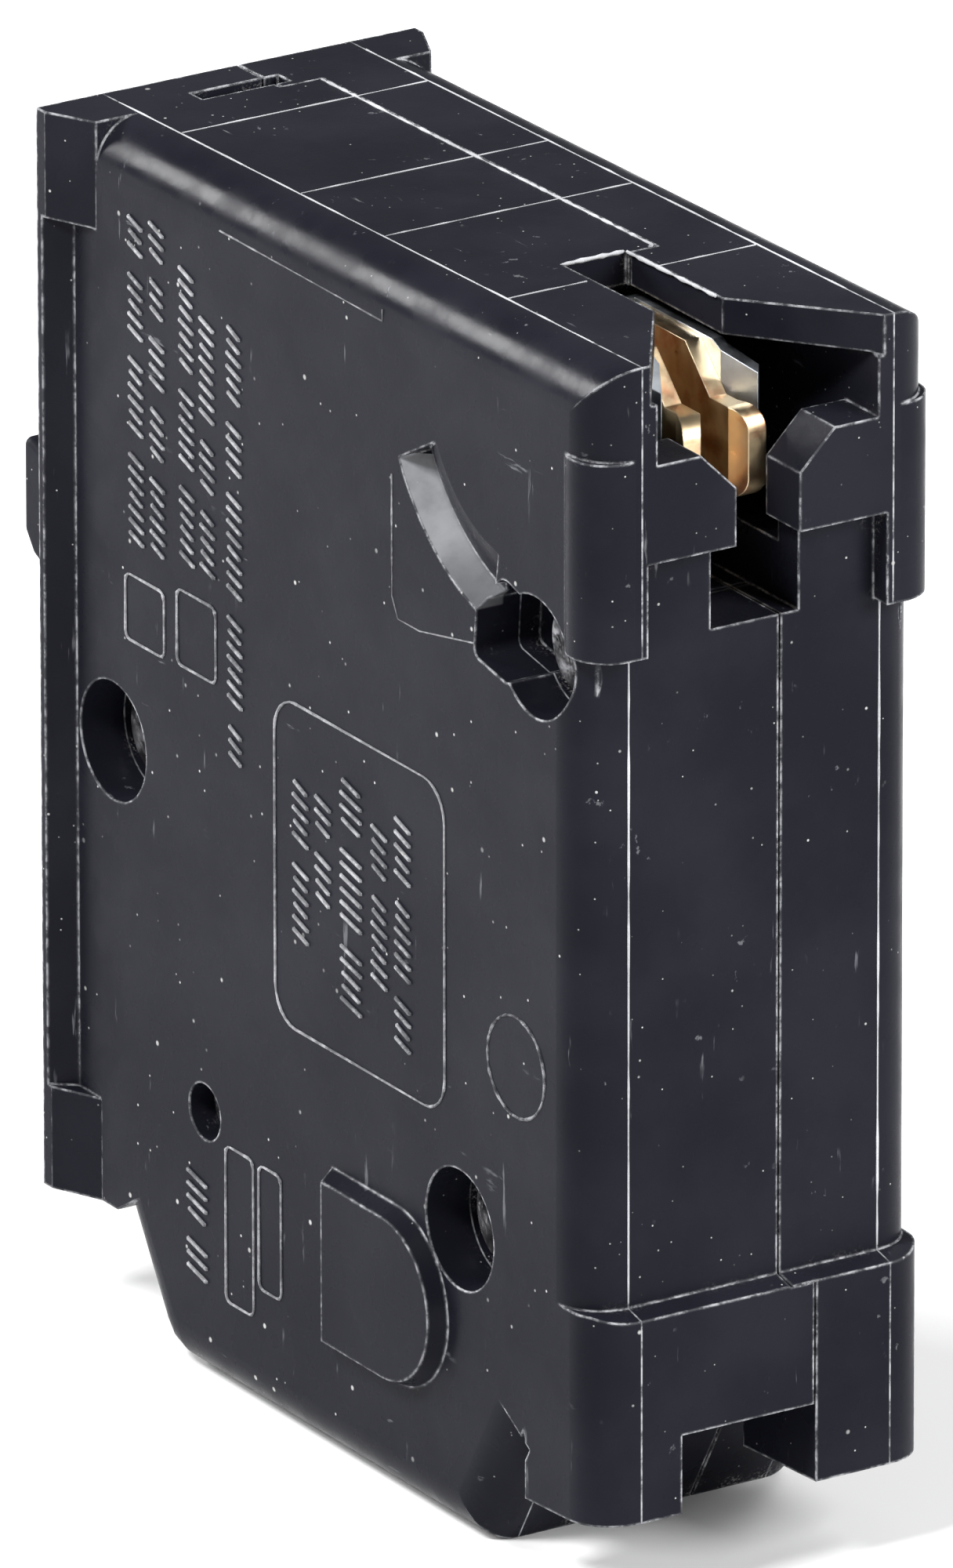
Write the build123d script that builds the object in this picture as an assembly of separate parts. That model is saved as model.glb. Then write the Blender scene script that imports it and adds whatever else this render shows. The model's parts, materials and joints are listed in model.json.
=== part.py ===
from build123d import *

import math
import os

# Plug-on miniature circuit breaker, one pole. Millimetres, +Z towards the line end,
# +Y towards the back (bus side), -Y towards the handle, origin under the box's centre.

# ---------------------------------------------------------------- driving dimensions
PITCH_WIDTH = 25.4          # over the front ears: one panel space
BODY_WIDTH = 22.5           # case between the ears
CASE_HEIGHT = 74.5          # at the back edge
FRONT_DROP = 1.1            # the top face falls this much towards the front
CASE_DEPTH = 57.3           # front face to lug face
HANDLE_REACH = 15.0         # handle tip in front of the front face
EDGE_RADIUS = 2.9           # large rounding along both sides
BACK_RECESS = 1.4           # middle of the back face lies this much forward
WALL = 2.35                 # moulded wall
FOOT_TOP = 17.9
FOOT_BOTTOM = 5.4
PILLAR_BOTTOM = 57.2
PILLAR_TOP = 69.0
LUG_BOTTOM = 62.7
LUG_TOP = 68.5
LUG_DEPTH = 3.5
STAB_FLOOR = 57.5
STAB_HALF_GAP = 2.1         # slot between the two lugs
STAB_HALF_GAP_LOW = 2.9     # the same slot below the lugs
SEAM_GAP = 0.15             # the two halves meet with this gap in the walls
RUNNING_CLEARANCE = 0.06

Y_BACK = (CASE_DEPTH + HANDLE_REACH) / 2
Y_FRONT = Y_BACK - CASE_DEPTH
Y_RECESS = Y_BACK - BACK_RECESS
EAR_X = PITCH_WIDTH / 2
SIDE_X = BODY_WIDTH / 2
CAVITY_X = SIDE_X - WALL
OUTSIDE = 90.0              # beyond the case, for cutting tools

# Load end outline, as Y and Z
LEDGE_Z = 7.6
SCREW_FACE_RUN = 3.7
SCREW_FACE_DROP = 6.0
LEDGE_END = (Y_FRONT + 5.8, LEDGE_Z)
SCREW_FACE_LOW = (LEDGE_END[0] + SCREW_FACE_RUN, LEDGE_Z - SCREW_FACE_DROP)
TOE = (Y_FRONT + 10.5, 0.5)
BASE_START = (Y_FRONT + 12.0, 0.0)
BASE_END = (Y_BACK - 13.0, 0.0)
INCLINE_TOP = (Y_BACK - 8.0, 8.5)
HOOK_TOP = 9.0
HOOK_SLOT_Y = (INCLINE_TOP[0], Y_BACK - 7.6)
FOOT_NOTCH_TOP = 10.1

# Seam between the halves: its X position in each storey
SEAM_X = -1.6
SEAM_TOP_X = -3.4
SEAM_LOW_X = -3.2
SEAM_FRONT_X = -0.7
SEAM_TOP_Y = (Y_BACK - 52.6, Y_BACK - 17.0)
SEAM_TOP_Z = 71.0
SEAM_LOW_Z = 17.5

# Rivets, as Y and Z. The front one carries the handle.
HANDLE_PIVOT = (Y_FRONT + 5.6, 36.4)
RIVETS = [HANDLE_PIVOT, (Y_BACK - 6.5, 55.9), (Y_BACK - 14.5, 18.9)]
WELL_RADIUS = 3.6
WELL_FLOOR_X = 6.9
BOSS_RADIUS = 4.7
LOBE_RADIUS = 1.2
RIVET_RADIUS = 1.5
RIVET_HEAD_RADIUS = 2.7
RIVET_HEAD_HEIGHT = 1.5

# Handle
HANDLE_TILT = 20.0          # above level when ON
HANDLE_HALF_WIDTH = 4.7
HANDLE_LENGTH = 23.172      # pivot to the tip's leading corner
HUB_RADIUS = 6.9
WINDOW_HALF_HEIGHT = 7.3     # clears the tilted handle through a 3 mm cover
WINDOW_HALF_WIDTH = 5.1

# Line jaw and fixed contact
JAW_Y = Y_BACK - 16.6
JAW_LIP_Y = Y_BACK - 4.5
JAW_HALF_GAP = 0.93
JAW_SHEET = 1.1
JAW_Z = (58.6, 71.2)
CLIP_SHEET = 0.7
LIP_RADIUS = 1.3
CHAMBER_X = 7.3
CHAMBER_Y = (Y_BACK - 18.2, Y_BACK - LUG_DEPTH)
CHAMBER_Z = (61.0, 72.2)
FIXED_TAB_Y = 12.9

# Contact arm, in the closed position
ARM_PIVOT = (-2.6, 38.0)
ARM_TIP = (9.3, 60.0)
ARM_HALF_WIDTH = 1.6
ARM_THICKNESS = 2.2
CONTACT_RADIUS = 2.0
CONTACT_HEIGHT = 1.2

# Trip mechanism
LEVER_PIVOT = (14.2, 47.0)
LEVER_HALF_WIDTH = 0.8
LATCH_Z = 27.0
ARMATURE_PIVOT = (8.6, 13.2)
BIMETAL_Y = 13.0
PIN_RADIUS = 1.2

# Load terminal, in a frame along the tilted screw
SCREW_TILT = math.degrees(math.atan2(SCREW_FACE_RUN, SCREW_FACE_DROP))
SCREW_FACE_MIDDLE = (LEDGE_END[0] + SCREW_FACE_RUN / 2, LEDGE_Z - SCREW_FACE_DROP / 2)
SCREW_ACCESS_RADIUS = 3.0
SCREW_RADIUS = 1.95
SCREW_HEAD_RADIUS = 2.8
SCREW_HEAD = (2.5, 5.0)     # depth of the head's two faces
SCREW_SHANK = 7.0           # short enough to drive in three turns without meeting the barrier
SCREW_SLOT = (0.9, 1.1)     # width and depth
SADDLE_SHEET = 1.3
STRAP_DEPTH = 9.4           # outer face of the terminal strap
STRAP_SHEET = 1.8
WIRE_SLOT_DEPTH = (4.7, 10.6)
WIRE_SLOT_HALF_WIDTH = 5.2


# ---------------------------------------------------------------- helpers
def yz_prism(points, x_low, x_high):
    """Solid with the given Y-Z outline between two X planes."""
    plane = Plane(origin=(x_low, 0, 0), x_dir=(0, 1, 0), z_dir=(1, 0, 0))
    return extrude(plane * make_face(Polyline(*points, close=True)), x_high - x_low)


def block(x_range, y_range, z_range):
    """Axis-aligned box from its low and high limits."""
    sizes = [high - low for low, high in (x_range, y_range, z_range)]
    corner = Pos(x_range[0], y_range[0], z_range[0])
    return corner * Box(*sizes, align=(Align.MIN, Align.MIN, Align.MIN))


def rod(radius, length):
    """Upright cylinder standing on the origin."""
    return Cylinder(radius, length, align=(Align.CENTER, Align.CENTER, Align.MIN))


def x_rod(centre, radius, x_low, x_high):
    """Cylinder along X through a Y-Z centre."""
    return Pos(x_low, centre[0], centre[1]) * Rot(0, 90, 0) * rod(radius, x_high - x_low)


def y_rod(centre, radius, y_low, y_high):
    """Cylinder along Y through an X-Z centre."""
    return Pos(centre[0], y_low, centre[1]) * Rot(-90, 0, 0) * rod(radius, y_high - y_low)


def strip(points, thickness, x_low, x_high):
    """Bent flat strip: its middle line is a Y-Z polyline, with rounded bends."""
    half = thickness / 2
    solid = None
    for (y0, z0), (y1, z1) in zip(points, points[1:]):
        length = math.hypot(y1 - y0, z1 - z0)
        side = (-(z1 - z0) / length * half, (y1 - y0) / length * half)
        corners = [
            (y0 + side[0], z0 + side[1]),
            (y1 + side[0], z1 + side[1]),
            (y1 - side[0], z1 - side[1]),
            (y0 - side[0], z0 - side[1]),
        ]
        piece = yz_prism(corners, x_low, x_high)
        solid = piece if solid is None else solid + piece
    for bend in points[1:-1]:
        solid += x_rod(bend, half, x_low, x_high)
    return solid


def screw_frame(shape):
    """Moves a shape built along +Z at the origin onto the tilted screw axis, +Z inwards."""
    return Pos(0, *SCREW_FACE_MIDDLE) * Rot(SCREW_TILT - 90, 0, 0) * shape


def screw_block(x_range, up_range, depth_range):
    """Box in the screw frame: up runs along the screw face, depth runs inwards."""
    return screw_frame(block(x_range, (-up_range[1], -up_range[0]), depth_range))


def both_sides(shape):
    """A shape and its mirror image across the middle plane."""
    return shape + mirror(shape, about=Plane.YZ)


def swing(shape, pivot, degrees):
    """Turns a shape about an X axis through a Y-Z pivot."""
    there = Pos(0, *pivot)
    back = Pos(0, -pivot[0], -pivot[1])
    return there * Rot(degrees, 0, 0) * back * shape


def save(shape, name):
    """Writes one node."""
    shape.label = name
    export_step(shape, f"parts/{name}.step")


# ---------------------------------------------------------------- outer form of the case
def case_section(y_back, ear_flat, ear_end):
    """Plan of the case: flat front with ears, straight sides, rounded back corners."""
    corner = SIDE_X - EDGE_RADIUS
    outline = Polyline(
        (0, y_back),
        (0, Y_FRONT),
        (EAR_X, Y_FRONT),
        (EAR_X, Y_FRONT + ear_flat),
        (SIDE_X, Y_FRONT + ear_end),
        (SIDE_X, y_back - EDGE_RADIUS),
    )
    outline += CenterArc((corner, y_back - EDGE_RADIUS), EDGE_RADIUS, 0, 90)
    outline += Line((corner, y_back), (0, y_back))
    half = make_face(outline)
    return half + mirror(half, about=Plane.YZ)


def case_slab(z_low, z_high, y_back, ear_flat, ear_end):
    """One storey of the case between two heights."""
    section = Plane.XY.offset(z_low) * case_section(y_back, ear_flat, ear_end)
    return extrude(section, z_high - z_low)


def edge_rounding(start, end):
    """Tool that rounds both side edges of a flat face whose outline runs from start to end.

    The outline is walked with the case's material on the left.
    """
    inner = SIDE_X - EDGE_RADIUS
    spare = 1.0
    reach = EDGE_RADIUS + spare
    corner = Pos(inner, -EDGE_RADIUS) * Rectangle(reach, reach, align=(Align.MIN, Align.MIN))
    profile = corner - Pos(inner, -EDGE_RADIUS) * Circle(EDGE_RADIUS)
    run = (0, end[0] - start[0], end[1] - start[1])
    plane = Plane(origin=(0, *start), x_dir=(1, 0, 0), z_dir=run)
    return both_sides(extrude(plane * profile, math.hypot(run[1], run[2])))


def outer_form():
    """Solid outer shape of both halves together."""
    pad = (0.9, 4.1)
    flare = (0.5, 1.7)
    body = case_slab(0, 13.9, Y_BACK, *pad)
    body += case_slab(13.9, FOOT_TOP, Y_BACK, *flare)
    body += case_slab(FOOT_TOP, PILLAR_BOTTOM, Y_RECESS, *flare)
    body += case_slab(PILLAR_BOTTOM, 67.0, Y_BACK, *flare)
    body += case_slab(67.0, CASE_HEIGHT, Y_BACK, *pad)

    # Corner pillars, a little proud of the sides
    pillar_radius = 2.35
    pillar = rod(pillar_radius, PILLAR_TOP - PILLAR_BOTTOM)
    pillar_place = Pos(SIDE_X + 0.25 - pillar_radius, Y_BACK - pillar_radius, PILLAR_BOTTOM)
    body += both_sides(pillar_place * pillar)

    # Sloping top, with both its side edges rounded behind the front pads
    slope = FRONT_DROP / CASE_DEPTH
    front_top = (Y_FRONT - 1, CASE_HEIGHT - FRONT_DROP - slope)
    back_top = (Y_BACK + 1, CASE_HEIGHT + slope)
    above = [front_top, back_top, (Y_BACK + 1, OUTSIDE), (Y_FRONT - 1, OUTSIDE)]
    body -= yz_prism(above, -OUTSIDE, OUTSIDE)
    behind_pad = (Y_FRONT + pad[1], CASE_HEIGHT - FRONT_DROP + slope * pad[1])
    body -= edge_rounding(back_top, behind_pad)

    # Load end: ledge, screw face, base, incline and rail hook slot
    below = [
        (Y_FRONT - 1, LEDGE_Z),
        LEDGE_END,
        SCREW_FACE_LOW,
        TOE,
        BASE_START,
        BASE_END,
        INCLINE_TOP,
        ((HOOK_SLOT_Y[0] + HOOK_SLOT_Y[1]) / 2, HOOK_TOP),
        (HOOK_SLOT_Y[1], INCLINE_TOP[1]),
        (HOOK_SLOT_Y[1], FOOT_BOTTOM - 0.5),
        (Y_BACK + 1, FOOT_BOTTOM),
        (Y_BACK + 1, -5),
        (Y_FRONT - 1, -5),
    ]
    body -= yz_prism(below, -OUTSIDE, OUTSIDE)
    faces = [LEDGE_END, SCREW_FACE_LOW, TOE, BASE_START, BASE_END, INCLINE_TOP]
    for start, end in zip(faces, faces[1:]):
        body -= edge_rounding(start, end)

    # Foot: bevelled top step, and the notch above the rail
    step = [(Y_RECESS, FOOT_TOP), (Y_BACK + 0.1, FOOT_TOP), (Y_BACK + 0.1, FOOT_TOP - 0.35)]
    body -= yz_prism(step, -OUTSIDE, OUTSIDE)
    notch_x = (SEAM_LOW_X - SEAM_GAP, 5.6)
    body -= block(notch_x, (HOOK_SLOT_Y[0], Y_BACK + 1), (FOOT_BOTTOM - 1, FOOT_NOTCH_TOP))

    # Recess under the lugs, between the pillars
    body -= block((-7.9, 7.9), (Y_RECESS, Y_BACK + 1), (PILLAR_BOTTOM, LUG_BOTTOM))
    return body


def side_pad():
    """Raised spacer pad on the near side: a drafted D shape that touches the neighbour."""
    low_z, high_z, flat_y, front_y = 7.85, 17.6, Y_BACK - 21.1, Y_BACK - 27.6
    height, draft = 1.1, 0.5
    middle_z = (low_z + high_z) / 2
    radius = (high_z - low_z) / 2

    def outline(grow, x):
        shape = Pos(flat_y, middle_z) * Circle(radius + grow)
        width = flat_y - front_y + grow
        shape += Pos(flat_y - width / 2, middle_z) * Rectangle(width, 2 * (radius + grow))
        return Plane(origin=(x, 0, 0), x_dir=(0, 1, 0), z_dir=(1, 0, 0)) * shape

    embed = 0.5
    wide = draft * (height + embed) / height
    return loft([outline(wide, SIDE_X - embed).face(), outline(0, SIDE_X + height).face()])


def side_scoop():
    """Tool for the curved scoop that runs into the upper rivet well on the near side."""
    start = (Y_BACK - 20.8, 63.3)
    end = (Y_BACK - 12.4, 56.7)
    bulge, depth, slope, run = 1.1, 1.6, 0.75, 4.6
    overrun = 6
    chord = (end[0] - start[0], end[1] - start[1])
    length = math.hypot(*chord)
    across = (-chord[1] / length, chord[0] / length)
    radius = (length * length / 4 + bulge * bulge) / (2 * bulge)
    centre = [(a + b) / 2 + c * (radius - bulge) for a, b, c in zip(start, end, across)]
    # Profile from the axis outwards: a floor that fades into the side face, then a sloping wall.
    foot = radius - slope * depth
    fade = radius - run
    floor = ThreePointArc((fade, 0.03), ((fade + foot) / 2, -0.36 * depth), (foot, -depth))
    lip = (radius + slope, 1)
    profile = floor + Line((foot, -depth), lip) + Line(lip, (fade, 1)) + Line((fade, 1), (fade, 0.03))
    hub = Vector(SIDE_X, *centre)
    outward = Vector(0, start[0] - centre[0], start[1] - centre[1])
    plane = Plane(origin=hub, x_dir=outward, z_dir=outward.cross(Vector(1, 0, 0)))
    angle = 2 * math.degrees(math.asin(length / 2 / radius)) + overrun
    return revolve(plane * make_face(profile), Axis(hub, Vector(1, 0, 0)), angle)


def upper_well_lobe():
    """Tool for the rounded pocket beside the upper well, where the scoop ends."""
    corners = [
        (Y_BACK - 12.6, 57.3),
        (Y_BACK - 9.8, 59.6),
        (Y_BACK - 5.6, 58.4),
        (Y_BACK - 5.6, 54.5),
        (Y_BACK - 9.6, 53.4),
        (Y_BACK - 12.9, 54.0),
    ]
    pocket = yz_prism(corners, WELL_FLOOR_X, SIDE_X + 1)
    upright = pocket.edges().filter_by(Axis.X).sort_by(Axis.Z)
    pocket = fillet(upright[-2:], LOBE_RADIUS)
    front = pocket.edges().filter_by(Axis.X).sort_by(Axis.Y)[:2].sort_by(Axis.Z)
    return fillet(front[0], LOBE_RADIUS / 2)


# ---------------------------------------------------------------- inside of the case
def cavity():
    """Tool for the hollow inside of the case."""
    inner_front = Y_FRONT + WALL
    inner_back = Y_RECESS - WALL
    chamber_wall = CHAMBER_Y[0] - 2.2
    room = [
        (inner_front, LEDGE_Z + 2.4),
        (LEDGE_END[0] + 1.3, LEDGE_Z + 2.4),
        (SCREW_FACE_LOW[0] + 2.3, WALL),
        (BASE_END[0] - 3.2, WALL),
        (INCLINE_TOP[0] - 3.8, 9.0),
        (INCLINE_TOP[0] - 3.1, 12.0),
        (inner_back, 20.2),
        (inner_back, 50.6),
        (chamber_wall, 50.6),
        (chamber_wall, 71.4),
        (inner_front, 70.8),
    ]
    space = yz_prism(room, -CAVITY_X, CAVITY_X)
    space += screw_block((-5.8, 5.8), (-4.8, 5.4), (WALL, 15.5))

    # Jaw chamber, stab slot and the open back above the lugs
    space += block((-CHAMBER_X, CHAMBER_X), CHAMBER_Y, CHAMBER_Z)
    low_gap = (-STAB_HALF_GAP_LOW, STAB_HALF_GAP_LOW)
    space += block(low_gap, (CHAMBER_Y[0], Y_BACK + 1), (STAB_FLOOR, LUG_BOTTOM))
    lug_slot = [
        (-STAB_HALF_GAP, LUG_BOTTOM - 0.5),
        (STAB_HALF_GAP, LUG_BOTTOM - 0.5),
        (STAB_HALF_GAP, LUG_TOP - 2.3),
        (STAB_HALF_GAP + 2.3, LUG_TOP),
        (CHAMBER_X, LUG_TOP),
        (CHAMBER_X, CHAMBER_Z[1]),
        (-CHAMBER_X, CHAMBER_Z[1]),
        (-CHAMBER_X, LUG_TOP),
        (-STAB_HALF_GAP - 2.3, LUG_TOP),
        (-STAB_HALF_GAP, LUG_TOP - 2.3),
    ]
    back_plane = Plane(origin=(0, Y_BACK + 1, 0), x_dir=(-1, 0, 0), z_dir=(0, 1, 0))
    slot_face = back_plane * make_face(Polyline(*lug_slot, close=True))
    space += extrude(slot_face, -(1 + LUG_DEPTH + 0.1))
    # Passage for the line strap, from the jaw to the contacts
    space += block((-3.2, 3.2), (chamber_wall - 0.1, CHAMBER_Y[0] + 0.1), (57.6, 62.6))
    return space


def wall_openings():
    """Tool for every opening through the walls."""
    window_z = (HANDLE_PIVOT[1] - WINDOW_HALF_HEIGHT, HANDLE_PIVOT[1] + WINDOW_HALF_HEIGHT)
    window_x = (-WINDOW_HALF_WIDTH, WINDOW_HALF_WIDTH)
    tool = block(window_x, (Y_FRONT - 1, Y_FRONT + WALL + 0.1), window_z)
    # Notch in the top wall over the jaw, flaring towards the back
    straight_end = Y_BACK - 7.7
    notch = Polyline(
        (2.6, Y_BACK - 17.3),
        (2.6, straight_end),
        (8.0, Y_BACK + 0.4),
        (8.0, Y_BACK + 1),
        (-8.0, Y_BACK + 1),
        (-8.0, Y_BACK + 0.4),
        (-1.6, straight_end),
        (-1.6, Y_BACK - 17.3),
        close=True,
    )
    tool += extrude(Plane.XY.offset(CHAMBER_Z[1] - 0.1) * make_face(notch), 5)
    # Blind slot in the top face near the front
    tool += block((-1.8, 4.1), (Y_BACK - 54.6, Y_BACK - 53.2), (CASE_HEIGHT - 2.2, CASE_HEIGHT + 1))
    # Screw access and wire entry
    tool += screw_frame(Pos(0, 0, -1) * rod(SCREW_ACCESS_RADIUS, WALL + 1.1))
    wire_x = (-WIRE_SLOT_HALF_WIDTH, WIRE_SLOT_HALF_WIDTH)
    tool += screw_block(wire_x, (-16, -4.7), WIRE_SLOT_DEPTH)
    return tool


def bosses():
    """Bosses and ribs that stand inside the case."""
    inside = SIDE_X - 1.2
    solid = x_rod(RIVETS[1], BOSS_RADIUS, -inside, inside)
    solid += x_rod(RIVETS[2], BOSS_RADIUS, -inside, inside)
    solid += both_sides(x_rod(HANDLE_PIVOT, BOSS_RADIUS, HANDLE_HALF_WIDTH + 0.15, inside))
    for pivot, gap in ((ARM_PIVOT, 3.4), (LEVER_PIVOT, 1.6), (ARMATURE_PIVOT, 4.2)):
        solid += both_sides(x_rod(pivot, PIN_RADIUS + 1.3, gap, inside))
    # Barrier between the terminal pocket and the mechanism
    solid += screw_block((-inside, inside), (0.6, 6.6), (15.5, 17.0))
    # Rib that carries the calibration screw
    solid += block((-inside, inside), (19.4, 21.6), (6.0, 13.2))
    return solid - block((-STAB_HALF_GAP_LOW, STAB_HALF_GAP_LOW), (0, Y_BACK), (STAB_FLOOR, 70))


def side_tools():
    """Tools for the rivet wells, the rivet bores and the pin holes."""
    tool = None
    for rivet in RIVETS:
        well = both_sides(x_rod(rivet, WELL_RADIUS, WELL_FLOOR_X, OUTSIDE))
        bore = x_rod(rivet, RIVET_RADIUS + RUNNING_CLEARANCE, -WELL_FLOOR_X - 1, WELL_FLOOR_X + 1)
        tool = well + bore if tool is None else tool + well + bore
    for pivot in (ARM_PIVOT, LEVER_PIVOT, ARMATURE_PIVOT):
        tool += x_rod(pivot, PIN_RADIUS, -CAVITY_X, CAVITY_X)
    return tool


def near_region(gap):
    """The space of the near half; the far half is what is left beyond the seam gap."""
    deep = (-OUTSIDE, OUTSIDE)
    middle = block((SEAM_X - gap, OUTSIDE), deep, (SEAM_LOW_Z, SEAM_TOP_Z))
    low = block((SEAM_LOW_X - gap, OUTSIDE), deep, (-OUTSIDE, SEAM_LOW_Z))
    top_front = block((SEAM_FRONT_X - gap, OUTSIDE), (-OUTSIDE, SEAM_TOP_Y[0]), (SEAM_TOP_Z, OUTSIDE))
    top = block((SEAM_TOP_X - gap, OUTSIDE), SEAM_TOP_Y, (SEAM_TOP_Z, OUTSIDE))
    top_back = block((SEAM_X - gap, OUTSIDE), (SEAM_TOP_Y[1], OUTSIDE), (SEAM_TOP_Z, OUTSIDE))
    return middle + low + top_front + top + top_back


def case_halves():
    """Near half and far half."""
    whole = outer_form() - cavity() + bosses() - wall_openings()
    far = whole - side_tools() - near_region(SEAM_GAP)
    near = (whole & near_region(0)) + side_pad()
    near -= side_scoop()
    near -= upper_well_lobe()
    near -= side_tools()
    near -= x_rod((Y_BACK - 41.9, 16.85), 1.7, SIDE_X - 1.8, OUTSIDE)
    calibration_bore = y_rod((0, 9.6), 1.6, 19, 22)
    return near - calibration_bore, far - calibration_bore


# ---------------------------------------------------------------- handle and contacts
def handle():
    """Toggle handle on its hub, tilted up in the ON position."""
    y0, z0 = HANDLE_PIVOT
    tip = y0 - HANDLE_LENGTH
    paddle_outline = [
        (y0, z0 + 4.4),
        (y0 - 6.5, z0 + 3.7),
        (tip, z0 + 3.47),
        (tip + 2.05, z0 - 2.2),
        (tip + 3.4, z0 - 3.1),
        (y0 - 6.5, z0 - 3.7),
        (y0, z0 - 4.4),
    ]
    paddle = yz_prism(paddle_outline, -HANDLE_HALF_WIDTH, HANDLE_HALF_WIDTH)
    tip_edges = paddle.edges().filter_by(Axis.X).sort_by(Axis.Y)[:3]
    paddle = fillet(tip_edges, 0.6)
    ends = paddle.edges().filter_by(Plane.YZ).filter_by(lambda e: e.center().Y < y0 - 7)
    paddle = fillet(ends, 0.45)
    lug = block((-1.6, 1.6), (y0, y0 + 8.0), (z0 - 1.7, z0 + 1.7))
    solid = x_rod(HANDLE_PIVOT, HUB_RADIUS, -HANDLE_HALF_WIDTH, HANDLE_HALF_WIDTH) + paddle + lug
    bore = x_rod(HANDLE_PIVOT, RIVET_RADIUS + RUNNING_CLEARANCE, -10, 10)
    return swing(solid - bore, HANDLE_PIVOT, -HANDLE_TILT)


def rivets():
    """Three headed rivets through both halves."""
    group = []
    for rivet in RIVETS:
        shank = x_rod(rivet, RIVET_RADIUS, -WELL_FLOOR_X, WELL_FLOOR_X)
        head = x_rod(rivet, RIVET_HEAD_RADIUS, WELL_FLOOR_X, WELL_FLOOR_X + RIVET_HEAD_HEIGHT)
        dimple = x_rod(rivet, 1.0, WELL_FLOOR_X + RIVET_HEAD_HEIGHT - 0.5, SIDE_X)
        group.append(shank + both_sides(head - dimple))
    return Compound(group)


def contact_carrier():
    """Moulded hub that holds the contact arm on its pivot."""
    hub = x_rod(ARM_PIVOT, 3.1, -3.2, 3.2)
    socket_end = (ARM_PIVOT[0] + 3.6, ARM_PIVOT[1] + 6.6)
    hub += strip([ARM_PIVOT, socket_end], 5.0, -2.6, 2.6)
    hub -= x_rod(ARM_PIVOT, PIN_RADIUS + RUNNING_CLEARANCE, -5, 5)
    return hub - arm_strip()


def arm_strip():
    """Copper arm without its contact: a bent bar from the carrier to the tip."""
    start = (ARM_PIVOT[0] + 1.9, ARM_PIVOT[1] + 3.4)
    knee = (ARM_TIP[0] - 2.4, ARM_TIP[1] - 6.5)
    path = [start, knee, (ARM_TIP[0], ARM_TIP[1] + 2.2)]
    return strip(path, ARM_THICKNESS, -ARM_HALF_WIDTH, ARM_HALF_WIDTH)


def moving_contact():
    """Silver button on the arm's back face."""
    face_y = ARM_TIP[0] + 0.7
    button = y_rod((0, ARM_TIP[1]), CONTACT_RADIUS, face_y, FIXED_TAB_Y - CONTACT_HEIGHT)
    return button - arm_strip()


def fixed_contact():
    """Silver button on the line strap's tab."""
    return y_rod((0, ARM_TIP[1]), CONTACT_RADIUS + 0.3, FIXED_TAB_Y - CONTACT_HEIGHT, FIXED_TAB_Y)


def jaw_fingers(offset, sheet, lip, y_end):
    """Pair of sheet fingers seen in plan: a web, two straight legs and flared lips."""
    inner = JAW_HALF_GAP + offset
    outer = inner + sheet
    lip_start = y_end - 2.2
    outline = Polyline(
        (0, JAW_Y - offset),
        (outer, JAW_Y - offset),
        (outer, lip_start + 0.3),
        (lip, y_end),
        (lip - sheet * 0.6, y_end + sheet * 0.8),
        (inner, lip_start + sheet),
        (inner, JAW_Y - offset + sheet),
        (0, JAW_Y - offset + sheet),
        close=True,
    )
    half = make_face(outline)
    return half + mirror(half, about=Plane.YZ)


def lip_rounding(y_end, z_low, z_high, radius):
    """Tool that rounds both corners of the lips, seen from the side."""
    end = Pos(y_end - radius, (z_low + z_high) / 2) * Rectangle(
        radius + 1, z_high - z_low + 2, align=(Align.MIN, Align.CENTER)
    )
    for z in (z_high - radius, z_low + radius):
        end -= Pos(y_end - radius, z) * Circle(radius)
    middle = Rectangle(3 * radius, z_high - z_low - 2 * radius)
    end -= Pos(y_end - 1.5 * radius, (z_low + z_high) / 2) * middle
    plane = Plane(origin=(-10, 0, 0), x_dir=(0, 1, 0), z_dir=(1, 0, 0))
    return extrude(plane * end, 20)


def line_jaw():
    """Copper jaw that grips the bus stab, with the strap to the fixed contact."""
    height = JAW_Z[1] - JAW_Z[0]
    plan = jaw_fingers(0, JAW_SHEET, 2.75, JAW_LIP_Y)
    body = extrude(Plane.XY.offset(JAW_Z[0]) * plan, height)
    # Upper corner cut at 45 degrees in front of the lips, and lips cut short below
    cut_start = (Y_BACK - 10.1, JAW_Z[1])
    cut_end = (Y_BACK - 7.5, JAW_Z[1] - 2.6)
    corner = [cut_start, cut_end, (Y_BACK, cut_end[1]), (Y_BACK, OUTSIDE), (cut_start[0], OUTSIDE)]
    body -= yz_prism(corner, -10, 10)
    lip_low = 63.2
    below = [(Y_BACK - 9.6, JAW_Z[0] - 1), (Y_BACK - 7.4, lip_low), (Y_BACK, lip_low)]
    body -= yz_prism(below + [(Y_BACK, JAW_Z[0] - 1)], -10, 10)
    body -= lip_rounding(JAW_LIP_Y, lip_low, cut_end[1], LIP_RADIUS)
    # Line strap: out of the web's foot, through the partition, up to the contact
    strap_z = JAW_Z[0] + 0.7
    tab = FIXED_TAB_Y + 0.7
    path = [(JAW_Y + 0.5, strap_z), (tab, strap_z), (tab, ARM_TIP[1] + 3.2)]
    return body + strip(path, 1.4, -2.4, 2.4)


def jaw_spring():
    """Steel spring clip outside both jaw fingers."""
    plan = jaw_fingers(JAW_SHEET, CLIP_SHEET, 3.6, Y_BACK - 6.6)
    body = extrude(Plane.XY.offset(61.4) * plan, 10.0)
    slope = [(Y_BACK - 9.2, 71.5), (Y_BACK - 5.0, 69.6), (Y_BACK - 5.0, 72.5), (Y_BACK - 9.2, 72.5)]
    low = [(Y_BACK - 9.0, 61.0), (Y_BACK - 6.8, 64.4), (Y_BACK - 5.0, 64.4), (Y_BACK - 5.0, 61.0)]
    return body - yz_prism(slope, -10, 10) - yz_prism(low, -10, 10)


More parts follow.
